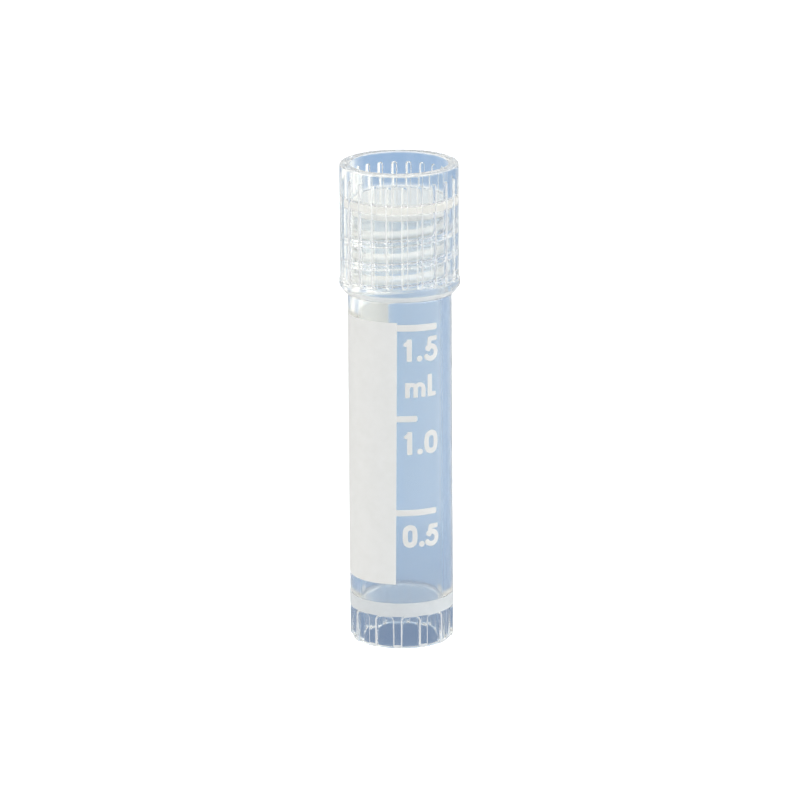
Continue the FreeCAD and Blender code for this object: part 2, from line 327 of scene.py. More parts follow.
def make_vial():
    skin = Skin()
    coarse = even(144)
    fine = repeated(
        [3.2, 6.0, 7.8, 8.5, 8.95, 9.3, 9.6, 9.85, 10.1, 10.4, 10.8, 11.3, 12.0, 12.8, 13.7],
        PANELS,
        PANEL_TURN,
    )
    # underside: the hollow, then the flat ring that it stands on
    skin.zone = 4
    skin.pole(Z_WELL)
    hollow = joined(
        [(x, Z_WELL) for x in steps(0.4, R_WELL - WELL_ROUND, 0.7)],
        arc(R_WELL - WELL_ROUND, Z_WELL - WELL_ROUND, WELL_ROUND, 90, 0, 8),
        [(R_WELL, x) for x in steps(Z_WELL - WELL_ROUND, 0.08, 0.5)],
        arc(R_WELL + 0.08, 0.08, 0.08, 180, 270, 4),
        [(x, 0.0) for x in (R_WELL + 0.12, R_WELL + 0.35)],
    )
    skin.rings(coarse, hollow)
    for r in (4.5, 4.7, R_BODY - FOOT_ROUND - 0.03):
        skin.ring(fine, r, 0.0)
    foot_z = np.concatenate(
        [
            [0.0, 0.006, 0.02, 0.045, 0.08, 0.12, 0.17, 0.22, 0.27, 0.3],
            np.arange(0.34, 0.6, 0.05),
            np.arange(0.7, 2.7, 0.33),
            np.arange(2.74, 3.44, 0.035),
            [3.5, 3.6, 3.8],
        ]
    )
    skin.paint = foot_zone
    for z in foot_z:
        low = max(FOOT_ROUND - z, 0.0)
        blank = R_BODY - FOOT_ROUND + math.sqrt(max(FOOT_ROUND**2 - low**2, 0.0))
        skin.ring(fine, panel_radius(fine, z, blank), z)
    skin.paint = None
    skin.zone = 0
    for z in steps(4.3, Z_SHOULDER - SHOULDER_ROUND, 1.6):
        skin.ring(fine, R_BODY, z)
    for r, z in arc(R_BODY - SHOULDER_ROUND, Z_SHOULDER - SHOULDER_ROUND, SHOULDER_ROUND, 18, 90, 4):
        skin.ring(fine, r, z)
    skin.zone = 2
    skin.ring(fine, R_NECK + 0.12, Z_SHOULDER)
    for r, z in arc(R_NECK + 0.08, Z_SHOULDER + 0.08, 0.08, 270, 180, 3):
        skin.ring(fine, r, z)
    # neck and its thread
    top = Z_MOUTH - MOUTH_ROUND
    around = even(360)
    rows = np.concatenate([np.arange(35.52, 43.3, 0.0675), [43.33, top]])
    skin.paint = neck_zone
    for z in rows:
        skin.ring(around, R_NECK + thread_height(around, z, NECK_T, NECK_T["tip"] - R_NECK), z)
    skin.paint = None
    for r, z in arc(R_NECK - MOUTH_ROUND, top, MOUTH_ROUND, 18, 90, 4):
        skin.ring(around, r, z)
    skin.zone = 1
    skin.ring(coarse, R_NECK - MOUTH_ROUND - 0.03, Z_MOUTH)
    tube = joined(
        [(R_BORE + MOUTH_BEVEL + 0.03, Z_MOUTH), (R_BORE + MOUTH_BEVEL, Z_MOUTH - 0.004)],
        [(R_BORE + 0.006, Z_MOUTH - MOUTH_BEVEL), (R_BORE, Z_MOUTH - MOUTH_BEVEL - 0.03)],
        [(R_BORE, x) for x in steps(Z_MOUTH - 0.3, Z_FLOOR + FLOOR_CORNER, 1.6)],
    )
    skin.rings(coarse, tube)
    skin.zone = 6
    bottom = joined(
        arc(R_BORE - FLOOR_CORNER, Z_FLOOR + FLOOR_CORNER, FLOOR_CORNER, 0, -90, 10),
        [(x, Z_FLOOR) for x in steps(R_BORE - FLOOR_CORNER, 0.4, 0.6)],
    )
    skin.rings(coarse, bottom[1:])
    skin.pole(Z_FLOOR)
    return skin.build("clear_vial")


# ------------------------------------------------------------------ the cap
def flute_radius(phi, z, blank):
    sector = 360.0 / FLUTES
    delta = np.radians((phi - (FLUTE_TURN + 90.0) + sector / 2) % sector - sector / 2)
    z0, z1 = FLUTE_Z0 + FLUTE_R, FLUTE_Z1 - FLUTE_R
    over = max(z0 - z, z - z1, 0.0)
    if over >= FLUTE_R + 0.05:
        return np.full(phi.shape, blank)
    rod = math.sqrt(max(FLUTE_R**2 - over**2, 0.0))
    side = np.abs(FLUTE_AXIS * np.sin(delta))
    cut = np.where(
        side < rod,
        FLUTE_AXIS * np.cos(delta) - np.sqrt(np.maximum(rod**2 - side**2, 0.0)),
        FLUTE_AXIS * np.cos(delta) + 2.5 * (side - rod),
    )
    return soft_min(blank, cut, 0.06)


def flute_zone(phi, z):
    sector = 360.0 / FLUTES
    delta = np.radians((phi - (FLUTE_TURN + 90.0) + sector / 2) % sector - sector / 2)
    over = max(FLUTE_Z0 + FLUTE_R - z, z - (FLUTE_Z1 - FLUTE_R), 0.0)
    away = np.hypot(R_CAP * np.sin(delta), over)
    front = np.cos(np.radians(phi)) > HIGHLIGHT_FRONT
    # painted highlight: the flutes' rounded edges are milky white on the front side and nearly clear behind
    return np.where(np.abs(away - 0.295) < 0.055, np.where(front, 3, 8), 0)


def make_cap():
    skin = Skin()
    coarse = even(144)
    around = even(360)
    fine = repeated([0.7, 1.4, 1.95, 2.35, 2.65, 2.9, 3.1, 3.35, 3.8, 4.8], FLUTES, FLUTE_TURN + 90.0)
    skin.zone = 1
    # underside of the web, then down inside the skirt with its thread
    skin.pole(Z_WEB0)
    skin.rings(coarse, [(x, Z_WEB0) for x in steps(0.4, R_SKIRT - 0.1, 0.8)])
    for r, z in arc(R_SKIRT - 0.08, Z_WEB0 - 0.08, 0.08, 80, 0, 3):
        skin.ring(around, r, z)
    rows = np.concatenate(
        [np.linspace(Z_WEB0 - 0.12, 42.0, 4), np.arange(41.93, 35.72, -0.0675), [35.68, Z_SKIRT + LEAD]]
    )
    for z in rows:
        skin.ring(around, R_SKIRT - thread_height(around, z, CAP_T, R_SKIRT - CAP_T["tip"]), z)
    skin.ring(around, R_SKIRT + LEAD * 0.5, Z_SKIRT + LEAD * 0.5)
    skin.ring(around, R_SKIRT + LEAD, Z_SKIRT)
    # painted highlight: the outside from the skirt's edge up to the bead is milky, standing in for the bright
    # crescent of light on the cap's lower edge
    skin.zone = 5
    outside = joined(
        [(R_SKIRT + LEAD + 0.03, Z_SKIRT), (R_CAP_FOOT - 0.05, Z_SKIRT), (R_CAP_FOOT, Z_SKIRT + 0.02)],
        [(R_CAP_FOOT + 0.04, Z_SKIRT + 0.05), (R_BEAD - 0.05, Z_BEAD0 - 0.06), (R_BEAD - 0.01, Z_BEAD0 + 0.01)],
        [(R_BEAD, Z_BEAD0 + 0.06), (R_BEAD, Z_BEAD1 - 0.06), (R_BEAD - 0.01, Z_BEAD1)],
        [(R_BEAD - 0.05, Z_BEAD1 + 0.06), (R_CAP + 0.01, Z_BEAD1 + BEAD_BLEND - 0.01)],
    )
    for r, z in outside:
        skin.ring(fine, r, z)
        skin.zone = 5 if z < Z_BEAD0 - 0.1 else 0
    wall_z = np.concatenate(
        [
            Z_BEAD1 + BEAD_BLEND + np.array([0.02, 0.05, 0.09, 0.13, 0.18, 0.24, 0.3, 0.36]),
            np.linspace(37.5, 46.6, 6),
            FLUTE_Z1 - np.array([0.42, 0.36, 0.31, 0.27, 0.23, 0.19, 0.15, 0.12, 0.09, 0.06, 0.03, 0.0, -0.03, -0.06, -0.1]),
            [47.4, 47.8, Z_CAP - RIM_OUT - 0.03, Z_CAP - RIM_OUT],
        ]
    )
    skin.paint = flute_zone
    for z in wall_z:
        skin.ring(fine, flute_radius(fine, z, R_CAP), z)
    skin.paint = None
    # painted highlight: the rounded rim and its top are milky, so that the rim shows as a bright line
    skin.zone = 6
    for r, z in arc(R_CAP - RIM_OUT, Z_CAP - RIM_OUT, RIM_OUT, 15, 90, 5):
        skin.ring(fine, r, z)
    rim = joined(
        [(x, Z_CAP) for x in steps(R_CAP - RIM_OUT - 0.03, R_CUP + RIM_IN, 0.3)],
        arc(R_CUP + RIM_IN, Z_CAP - RIM_IN, RIM_IN, 90, 180, 5),
    )
    skin.rings(coarse, rim)
    skin.zone = 2
    skin.rings(coarse, [(R_CUP, x) for x in steps(Z_CAP - RIM_IN, Z_WEB1 + CUP_CORNER, 0.6)[1:]])
    # painted light: the cup's corner and floor are milky, so that a lit cream band covers the dark line that
    # refraction gives there
    skin.zone = 7
    skin.rings(coarse, arc(R_CUP - CUP_CORNER, Z_WEB1 + CUP_CORNER, CUP_CORNER, 0, -90, 7)[1:])
    skin.zone = 4
    skin.rings(coarse, [(x, Z_WEB1) for x in steps(R_CUP - CUP_CORNER, 0.4, 0.8)[1:]])
    skin.pole(Z_WEB1)
    return skin.build("clear_cap")


# ------------------------------------------------------------------ the gasket
def make_gasket():
    bite = 0.012  # pressed that far into both faces, so that no film of air is left between
    z0, z1, g = Z_MOUTH - bite, Z_WEB0 + bite, GASKET_ROUND
    skin = Skin()
    skin.pole(z0)
    skin.rings(
        even(160),
        joined(
            [(x, z0) for x in steps(0.4, R_GASKET - g, 0.8)],
            arc(R_GASKET - g, z0 + g, g, -90, 0, 4),
            arc(R_GASKET - g, z1 - g, g, 0, 90, 4),
            [(x, z1) for x in steps(R_GASKET - g, 0.4, 0.8)],
        ),
    )
    skin.pole(z1)
    return skin.build("soft_gasket")


# ------------------------------------------------------------------ the print
INK0, INK1 = R_BODY - 0.004, R_BODY + 0.036  # under and upper side of the ink
DEG = math.radians(1.0) * R_BODY  # millimetres of arc in one degree


def on_tube(x, z, r):
    a = np.asarray(x) / R_BODY
    return np.stack([r * np.sin(a), -r * np.cos(a), z], axis=1)


def edged(a, b, pitch):
    """Points from a to b that crowd at both ends, where the ink's edge is rounded."""
    lead = np.array([0.0, 0.015, 0.04, 0.08, 0.14])
    inner = np.linspace(a + 0.22, b - 0.22, max(2, int(abs(b - a - 0.44) / pitch) + 1))
    return np.concatenate([a + lead, inner, b - lead[::-1]])


def ink_level(depth):
    """Height of the ink's upper side, by the distance from its edge."""
    return INK0 + (INK1 - INK0) * (0.3 + 0.7 * np.sqrt(np.clip(1 - (1 - np.clip(depth / 0.09, 0, 1)) ** 2, 0, 1)))


def ink_block(name, x0, x1, z0, z1, shear=0.0, lean=0.0, pitch=0.5, closed=False):
    """A printed rectangle. shear: how far x0 moves from its lower to its upper end;
    lean: how far z falls from x0 to x1."""
    zs = edged(0.0, 1.0 * (z1 - z0), pitch)
    if closed:
        xs = np.linspace(x0, x1, int((x1 - x0) / 0.11) + 1)[:-1]
    else:
        xs = edged(0.0, x1 - x0, 0.09 if pitch < 0.3 else 0.11)
    nx, nz = len(xs), len(zs)
    gx, gz = np.meshgrid(xs, zs, indexing="ij")
    dz = np.minimum(gz, (z1 - z0) - gz)
    if closed:
        depth, x = dz, gx
    else:
        dx = np.minimum(gx, (x1 - x0) - gx)
        depth = np.minimum(dx, dz)
        x = x0 + gx + shear * gz / (z1 - z0)
    z = z0 + gz
    if not closed:
        z = z - lean * gx / (x1 - x0)
    top = on_tube(x.ravel(), z.ravel(), ink_level(depth).ravel())
    low = on_tube(x.ravel(), z.ravel(), INK0)
    n = nx * nz
    pts = np.concatenate([top, low])
    faces = []
    cols = nx if closed else nx - 1
    for i in range(cols):
        a = i
        b = (i + 1) % nx
        for k in range(nz - 1):
            q = (a * nz + k, b * nz + k, b * nz + k + 1, a * nz + k + 1)
            faces.append(q)
            faces.append(tuple(v + n for v in reversed(q)))
        for k, s in ((0, 1), (nz - 1, -1)):
            q = (a * nz + k, b * nz + k, b * nz + k + n, a * nz + k + n)
            faces.append(q[::-1] if s > 0 else q)
    if not closed:
        for i, s in ((0, 1), (nx - 1, -1)):
            for k in range(nz - 1):
                q = (i * nz + k, i * nz + k + 1, i * nz + k + 1 + n, i * nz + k + n)
                faces.append(q[::-1] if s < 0 else q)
    return build_mesh(name, pts, faces, [int(min(f) >= n) for f in faces])


def ink_shape(name, field, x0, x1, z0, z1, cell=0.035):
    """A printed shape given by its distance field (positive inside), as a closed shell
    whose outline follows the field's zero line."""
    nx, nz = int((x1 - x0) / cell) + 1, int((z1 - z0) / cell) + 1
    xs, zs = x0 + cell * np.arange(nx), z0 + cell * np.arange(nz)
    gx, gz = np.meshgrid(xs, zs, indexing="ij")
    f = field(gx, gz)
    f = np.where(np.abs(f) < 1e-5, 1e-5, f)
    pts, depth, faces, rim = [], [], [], []
    corner, cut = {}, {}

    def node(i, k):
        if (i, k) not in corner:
            corner[(i, k)] = len(pts)
            pts.append((xs[i], zs[k]))
            depth.append(f[i, k])
        return corner[(i, k)]

    def edge(a, b):
        key = (min(a, b), max(a, b))
        if key not in cut:
            fa, fb = f[key[0]], f[key[1]]
            t = min(max(fa / (fa - fb), 0.08), 0.92)
            cut[key] = len(pts)
            pts.append(
                (
                    xs[key[0][0]] + t * (xs[key[1][0]] - xs[key[0][0]]),
                    zs[key[0][1]] + t * (zs[key[1][1]] - zs[key[0][1]]),
                )
            )
            depth.append(0.0)
        return cut[key]

    for i in range(nx - 1):
        for k in range(nz - 1):
            quad = [(i, k), (i + 1, k), (i + 1, k + 1), (i, k + 1)]
            ins = [f[q] > 0 for q in quad]
            if not any(ins):
                continue
            if all(ins):
                faces.append([node(*q) for q in quad])
                continue
            if ins in ([True, False, True, False], [False, True, False, True]):
                for m in range(4):
                    if ins[m]:
                        p, q, r = quad[m - 1], quad[m], quad[(m + 1) % 4]
                        e0, e1 = edge(p, q), edge(q, r)
                        faces.append([e0, node(*q), e1])
                        rim.append((e1, e0))
                continue
            loop, out, back = [], None, None
            for m in range(4):
                a, b = quad[m], quad[(m + 1) % 4]
                if ins[m]:
                    loop.append(node(*a))
                if ins[m] != ins[(m + 1) % 4]:
                    e = edge(a, b)
                    loop.append(e)
                    if ins[m]:
                        out = e
                    else:
                        back = e
            faces.append(loop)
            rim.append((out, back))
    n = len(pts)
    xy = np.array(pts)
    top = on_tube(xy[:, 0], xy[:, 1], ink_level(np.array(depth)))
    low = on_tube(xy[:, 0], xy[:, 1], INK0)
    every = [tuple(q) for q in faces] + [tuple(v + n for v in reversed(q)) for q in faces]
    every += [(a, a + n, b + n, b) for a, b in rim]
    return build_mesh(name, np.concatenate([top, low]), every, [int(min(f) >= n) for f in every])


def bar(x, z, x0, z0, x1, z1, w):
    """Inside distance of a round-ended stroke."""
    dx, dz = x1 - x0, z1 - z0
    t = np.clip(((x - x0) * dx + (z - z0) * dz) / (dx * dx + dz * dz), 0, 1)
    return w / 2 - np.hypot(x - x0 - t * dx, z - z0 - t * dz)


def block(x, z, x0, z0, x1, z1, w, corner=0.09):
    """Inside distance of a stroke with nearly square ends; it runs upright or level."""
    cx, cz = (x0 + x1) / 2, (z0 + z1) / 2
    hx, hz = abs(x1 - x0) / 2 + (w / 2 if x0 == x1 else 0), abs(z1 - z0) / 2 + (w / 2 if z0 == z1 else 0)
    qx, qz = np.abs(x - cx) - hx + corner, np.abs(z - cz) - hz + corner
    return corner - (np.hypot(np.maximum(qx, 0), np.maximum(qz, 0)) + np.minimum(np.maximum(qx, qz), 0))


def bow(x, z, cx, cz, radius, a0, a1, w, squash=1.0):
    """Inside distance of a round stroke from a0 to a1, in degrees, anticlockwise."""
    dx, dz = (x - cx) / squash, z - cz
    ang = (np.degrees(np.arctan2(dz, dx)) - a0) % 360.0
    span = (a1 - a0) % 360.0 or 360.0
    on = w / 2 - np.abs(np.hypot(dx, dz) - radius)
    e0 = (cx + squash * radius * math.cos(math.radians(a0)), cz + radius * math.sin(math.radians(a0)))
    e1 = (cx + squash * radius * math.cos(math.radians(a1)), cz + radius * math.sin(math.radians(a1)))
    ends = np.maximum(
        w / 2 - np.hypot(x - e0[0], z - e0[1]), w / 2 - np.hypot(x - e1[0], z - e1[1])
    )
    return np.where(ang <= span, on, ends)


def oval(x, z, x0, x1, z0, z1, w):
    radius = (x1 - x0) / 2 - w / 2
    half = (z1 - z0) / 2 - w / 2 - radius
    cx, cz = (x0 + x1) / 2, (z0 + z1) / 2
    dz = np.maximum(np.abs(z - cz) - half, 0)
    # sides that bulge a little, as a drawn nought has
    flat = np.clip(np.abs(z - cz) / (half + radius), 0, 1)
    d = np.hypot(x - cx, dz) + 0.10 * flat**2 * (1 - flat) * 2
    return w / 2 - np.abs(d - radius)


STROKE = 0.52


def glyph_one(x, z, left, z0, z1):
    s = left + 0.57
    return np.maximum(
        block(x, z, s, z0, s, z1, STROKE),
        bar(x, z, s - 0.02, z1 - 0.26, left + 0.2, z1 - 0.52, 0.40),
    )


def glyph_five(x, z, x0, x1, z0, z1):
    w = STROKE
    r = 0.62
    cx, cz = x1 - r - w / 2 + 0.04, z0 + r + w / 2 - 0.02
    top = block(x, z, x0 + 0.32, z1 - w / 2, x1 - 0.06, z1 - w / 2, w * 0.92)
    stem = bar(x, z, x0 + 0.44, z1 - w / 2, x0 + 0.33, cz + 0.36, w * 0.9)
    bowl = bow(x, z, cx, cz, r, -145, 128, w)
    return np.maximum(np.maximum(top, stem), bowl)


def glyph_m(x, z, x0, x1, z0, z1):
    w = 0.46
    a, c = x0 + w / 2, x1 - w / 2
    b = (a + c) / 2
    r = (b - a) / 2
    out = block(x, z, a, z0, a, z1, w)
    for p, q in ((a, b), (b, c)):
        cz = z1 - w / 2 - r
        out = np.maximum(out, bow(x, z, (p + q) / 2, cz, r, 0, 180, w * 0.96))
        out = np.maximum(out, block(x, z, q, z0, q, cz + 0.05, w))
    return out


def glyph_l(x, z, x0, x1, z0, z1):
    w = STROKE
    return np.maximum(
        block(x, z, x0 + w / 2, z0, x0 + w / 2, z1, w),
        block(x, z, x0, z0 + w * 0.42, x1, z0 + w * 0.42, w * 0.84),
    )


def dot(x, z, cx, cz, r=0.3):
    return r - np.hypot(x - cx, z - cz)


def make_print():
    made = []
    edge_low, edge_high = -6.3 * DEG, -3.3 * DEG
    patch_z0, patch_z1 = 6.7, 33.4
    far = -168.0 * DEG
    made.append(
        ink_block("writing_patch", far, edge_low, patch_z0, patch_z1, shear=edge_high - edge_low)
    )

    def edge_at(z):
        return edge_low + (edge_high - edge_low) * (z - patch_z0) / (patch_z1 - patch_z0)

    def mark(z0, z1, end, lean):
        x0, x1 = edge_at((z0 + z1) / 2), end * DEG

        def field(x, z):
            z = z + lean * (x - x0) / (x1 - x0)
            round_end = block(x, z, x0 - 1.0, (z0 + z1) / 2, x1, (z0 + z1) / 2, z1 - z0, 0.2)
            return np.minimum(round_end, x - edge_at(z) + 0.02)

        return field, x0 - 0.1, x1 + 0.1, z0 - lean - 0.1, z1 + 0.1

    for name, z0, z1, end, lean in (
        ("mark_upper", 32.53, 33.2, 44.3, 0.13),
        ("mark_middle", 23.34, 23.96, 18.7, 0.02),
        ("mark_lower", 13.75, 14.38, 42.4, 0.04),
    ):
        made.append(ink_shape(name, *mark(z0, z1, end, lean)))

    def upper(x, z):
        f = glyph_one(x, z, 0.32, 29.45, 31.7)
        f = np.maximum(f, dot(x, z, 1.93, 29.69))
        return np.maximum(f, glyph_five(x, z, 2.62, 4.03, 29.32, 31.83))

    def unit(x, z):
        return np.maximum(
            glyph_m(x, z, 0.45, 2.56, 25.77, 27.31), glyph_l(x, z, 2.80, 3.80, 25.74, 28.0)
        )

    def middle(x, z):
        f = glyph_one(x, z, 0.31, 19.97, 22.32)
        f = np.maximum(f, dot(x, z, 1.93, 20.25))
        return np.maximum(f, oval(x, z, 2.38, 4.0, 19.92, 22.3, STROKE))

    def lower(x, z):
        f = oval(x, z, 0.11, 1.62, 10.47, 12.81, STROKE)
        f = np.maximum(f, dot(x, z, 2.07, 10.78))
        return np.maximum(f, glyph_five(x, z, 2.60, 4.02, 10.42, 12.72))

    made.append(ink_shape("label_upper", upper, 0.0, 4.4, 29.0, 32.2))
    made.append(ink_shape("label_unit", unit, 0.2, 4.1, 25.3, 28.4))
    made.append(ink_shape("label_middle", middle, 0.0, 4.4, 19.6, 22.6))
    made.append(ink_shape("label_lower", lower, -0.2, 4.4, 10.1, 13.1))
    made.append(
        ink_block("foot_band", -114.0 * DEG, 114.0 * DEG, 3.36, 4.74, pitch=0.3)
    )
    return made


# ------------------------------------------------------------------ materials
def new_material(name):
    m = bpy.data.materials.new(name)
    m.use_nodes = True
    tree = m.node_tree
    tree.nodes.clear()
    out = tree.nodes.new("ShaderNodeOutputMaterial")
    shader = tree.nodes.new("ShaderNodeBsdfPrincipled")
    tree.links.new(shader.outputs["BSDF"], out.inputs["Surface"])
    return m, tree, shader, out


def put(tree, kind, **values):
    node = tree.nodes.new(kind)
    for key, value in values.items():
        if key in node.inputs:
            node.inputs[key].default_value = value
        else:
            setattr(node, key, value)
    return node


def noise(tree, scale, detail=3.0, rough=0.5, stretch=None):
    where = tree.nodes.new("ShaderNodeTexCoord")
    n = put(tree, "ShaderNodeTexNoise", Scale=scale, Detail=detail, Roughness=rough)
    if stretch:
        mapping = tree.nodes.new("ShaderNodeMapping")
        mapping.inputs["Scale"].default_value = stretch
        tree.links.new(where.outputs["Object"], mapping.inputs["Vector"])
        tree.links.new(mapping.outputs["Vector"], n.inputs["Vector"])
    else:
        tree.links.new(where.outputs["Object"], n.inputs["Vector"])
    return n


def ranged(tree, source, a, b, lo=0.0, hi=1.0):
    r = tree.nodes.new("ShaderNodeMapRange")
    r.inputs["From Min"].default_value = lo
    r.inputs["From Max"].default_value = hi
    r.inputs["To Min"].default_value = a
    r.inputs["To Max"].default_value = b
    tree.links.new(source, r.inputs["Value"])
    return r.outputs["Result"]


def tinted(tree, factor, a, b):
    ramp = tree.nodes.new("ShaderNodeValToRGB")
    ramp.color_ramp.elements[0].color = (*a, 1)
    ramp.color_ramp.elements[1].color = (*b, 1)
    ramp.color_ramp.elements[0].position = 0.3
    ramp.color_ramp.elements[1].position = 0.7
    tree.links.new(factor, ramp.inputs["Fac"])
    return ramp.outputs["Color"]


def clear_plastic(name, tint_a, tint_b, rough, clear, wave):
    """Clear moulded plastic: faint tint, soft flow waves in its skin, slightly uneven gloss."""
    m, tree, s, out = new_material(name)
    s.inputs["IOR"].default_value = 1.49
    s.inputs["Transmission Weight"].default_value = clear
    flow = noise(tree, 260.0, 2.0, 0.45, (1.0, 1.0, 0.35))
    tree.links.new(tinted(tree, flow.outputs["Fac"], tint_a, tint_b), s.inputs["Base Color"])
    fine = noise(tree, 2400.0, 4.0, 0.6)
    tree.links.new(ranged(tree, fine.outputs["Fac"], rough[0], rough[1], 0.3, 0.7), s.inputs["Roughness"])
    bump = put(tree, "ShaderNodeBump", Strength=1.0, Distance=wave * MM)
    tree.links.new(flow.outputs["Fac"], bump.inputs["Height"])
    small = put(tree, "ShaderNodeBump", Strength=1.0, Distance=0.0006 * MM)
    tree.links.new(fine.outputs["Fac"], small.inputs["Height"])
    tree.links.new(bump.outputs["Normal"], small.inputs["Normal"])
    tree.links.new(small.outputs["Normal"], s.inputs["Normal"])
    return m


def ink_material(name, tint_a, tint_b):
    """Opaque screen-printed ink: matt, with a fine grain and small thin spots."""
    m, tree, s, _ = new_material(name)
    s.inputs["IOR"].default_value = 1.5
    cloud = noise(tree, 900.0, 4.0, 0.6)
    tree.links.new(
        tinted(tree, cloud.outputs["Fac"], tint_a, tint_b), s.inputs["Base Color"]
    )
    fine = noise(tree, 5200.0, 3.0, 0.6)
    tree.links.new(ranged(tree, fine.outputs["Fac"], 0.42, 0.6, 0.3, 0.7), s.inputs["Roughness"])
    bump = put(tree, "ShaderNodeBump", Strength=1.0, Distance=0.006 * MM)
    tree.links.new(fine.outputs["Fac"], bump.inputs["Height"])
    broad = put(tree, "ShaderNodeBump", Strength=1.0, Distance=0.012 * MM)
    tree.links.new(cloud.outputs["Fac"], broad.inputs["Height"])
    tree.links.new(bump.outputs["Normal"], broad.inputs["Normal"])
    tree.links.new(broad.outputs["Normal"], s.inputs["Normal"])
    return m


def gasket_material():
    """Soft off-white silicone, satin, faintly mottled."""
    m, tree, s, _ = new_material("off_white_silicone")
    s.inputs["IOR"].default_value = 1.42
    s.inputs["Subsurface Weight"].default_value = 0.0
    mottle = noise(tree, 1200.0, 4.0, 0.55)
    tree.links.new(
        tinted(tree, mottle.outputs["Fac"], (0.73, 0.725, 0.70), (0.79, 0.78, 0.76)), s.inputs["Base Color"]
    )
    fine = noise(tree, 6000.0, 3.0, 0.6)
    tree.links.new(ranged(tree, fine.outputs["Fac"], 0.45, 0.62, 0.3, 0.7), s.inputs["Roughness"])
    bump = put(tree, "ShaderNodeBump", Strength=1.0, Distance=0.008 * MM)
    tree.links.new(fine.outputs["Fac"], bump.inputs["Height"])
    tree.links.new(bump.outputs["Normal"], s.inputs["Normal"])
    return m


BODY_A, BODY_B = (0.92, 0.945, 0.958), (0.94, 0.957, 0.966)
CAP_A, CAP_B = (0.938, 0.955, 0.955), (0.96, 0.968, 0.962)
# HIGHLIGHT_A and HIGHLIGHT_B tint the milky materials that paint highlights and light onto the rib edges, flute
# edges, lower edge, rim and well of the cap
HIGHLIGHT_A, HIGHLIGHT_B = (0.93, 0.94, 0.94), (0.96, 0.965, 0.96)
# warm ivory tint of the painted highlight on the neck thread's ridges
RIDGE_HIGHLIGHT_A, RIDGE_HIGHLIGHT_B = (0.95, 0.94, 0.90), (0.975, 0.965, 0.93)
body_mats = [
    clear_plastic("clear_body_skin", BODY_A, BODY_B, (0.04, 0.09), 0.958, 0.012),
    clear_plastic("clear_body_bore", BODY_A, BODY_B, (0.11, 0.17), 0.958, 0.012),
    clear_plastic("clear_neck", BODY_A, BODY_B, (0.14, 0.22), 0.955, 0.008),
    # painted highlight: milky white rib edges on the front side; clear_rib_edge_far is their nearly clear copy
    # behind
    clear_plastic("clear_rib_edge", HIGHLIGHT_A, HIGHLIGHT_B, (0.12, 0.22), 0.15, 0.004),
    clear_plastic("clear_foot", BODY_A, BODY_B, (0.05, 0.10), 0.985, 0.008),
    # painted highlight: milky warm ivory ridges of the neck thread in front; clear_ridge_far is their nearly clear
    # copy behind
    clear_plastic("neck_ridge_painted_highlight", RIDGE_HIGHLIGHT_A, RIDGE_HIGHLIGHT_B, (0.12, 0.22), 0.54, 0.006),
    clear_plastic("clear_body_floor", BODY_A, BODY_B, (0.11, 0.17), 0.98, 0.010),
    clear_plastic("clear_rib", BODY_A, BODY_B, (0.06, 0.12), 0.985, 0.008),
    clear_plastic("clear_rib_edge_far", HIGHLIGHT_A, HIGHLIGHT_B, (0.10, 0.18), 0.965, 0.004),
    clear_plastic("clear_ridge_far", RIDGE_HIGHLIGHT_A, RIDGE_HIGHLIGHT_B, (0.10, 0.18), 0.94, 0.006),
]
cap_mats = [
    clear_plastic("clear_cap_skin", CAP_A, CAP_B, (0.03, 0.07), 0.98, 0.008),
    clear_plastic("clear_cap_thread", CAP_A, CAP_B, (0.10, 0.16), 0.968, 0.008),
    clear_plastic("clear_cap_well", CAP_A, CAP_B, (0.04, 0.08), 0.99, 0.006),
    # painted highlight: milky flute edges in front; clear_flute_edge_far is their nearly clear copy behind
    clear_plastic("clear_flute_edge", HIGHLIGHT_A, HIGHLIGHT_B, (0.12, 0.22), 0.28, 0.004),
    # painted light: milky floor and corner of the cup
    clear_plastic("cap_floor_painted_light", HIGHLIGHT_A, HIGHLIGHT_B, (0.08, 0.14), 0.81, 0.004),
    # painted highlight on the cap's lower edge
    clear_plastic("cap_foot_painted_highlight", HIGHLIGHT_A, HIGHLIGHT_B, (0.10, 0.18), 0.31, 0.004),
    clear_plastic("cap_rim_painted_highlight", CAP_A, CAP_B, (0.06, 0.12), 0.74, 0.004),
    clear_plastic("cap_corner_painted_light", HIGHLIGHT_A, HIGHLIGHT_B, (0.10, 0.18), 0.80, 0.004),
    clear_plastic("clear_flute_edge_far", HIGHLIGHT_A, HIGHLIGHT_B, (0.10, 0.18), 0.93, 0.004),
]
ink = ink_material("white_print", (0.90, 0.90, 0.88), (0.935, 0.935, 0.92))
# painted shade: the marks and figures get a slightly darker copy of the white print, offsetting the stronger lamp
# light on them
ink_dimmed = ink_material("white_print_dimmed", (0.87, 0.87, 0.85), (0.91, 0.91, 0.89))
# painted shade: the band round the foot gets a darker, bluer copy of the white print
ink_blue_shade = ink_material("white_print_blue_shade", (0.74, 0.77, 0.79), (0.80, 0.83, 0.85))
# painted light: the print's side on the tube, seen through the clear wall, gets a warmer cream copy of the ink that
# stands in for warm lamp light
ink_lit_back = ink_material("white_print_lit_back", (0.86, 0.835, 0.765), (0.90, 0.875, 0.81))
rubber = gasket_material()

# ------------------------------------------------------------------ pieces
vial = make_vial()
for m in body_mats:
    vial.data.materials.append(m)
cap = make_cap()
for m in cap_mats:
    cap.data.materials.append(m)
gasket = make_gasket()
gasket.data.materials.append(rubber)

for obj, body, node, slot in (
    (vial, "vial", "vial_body", "clear_body"),
    (cap, "cap", "screw_cap", "clear_cap"),
    (gasket, "seal", "sealing_gasket", "silicone"),
):
    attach(obj, body)
    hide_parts(node)

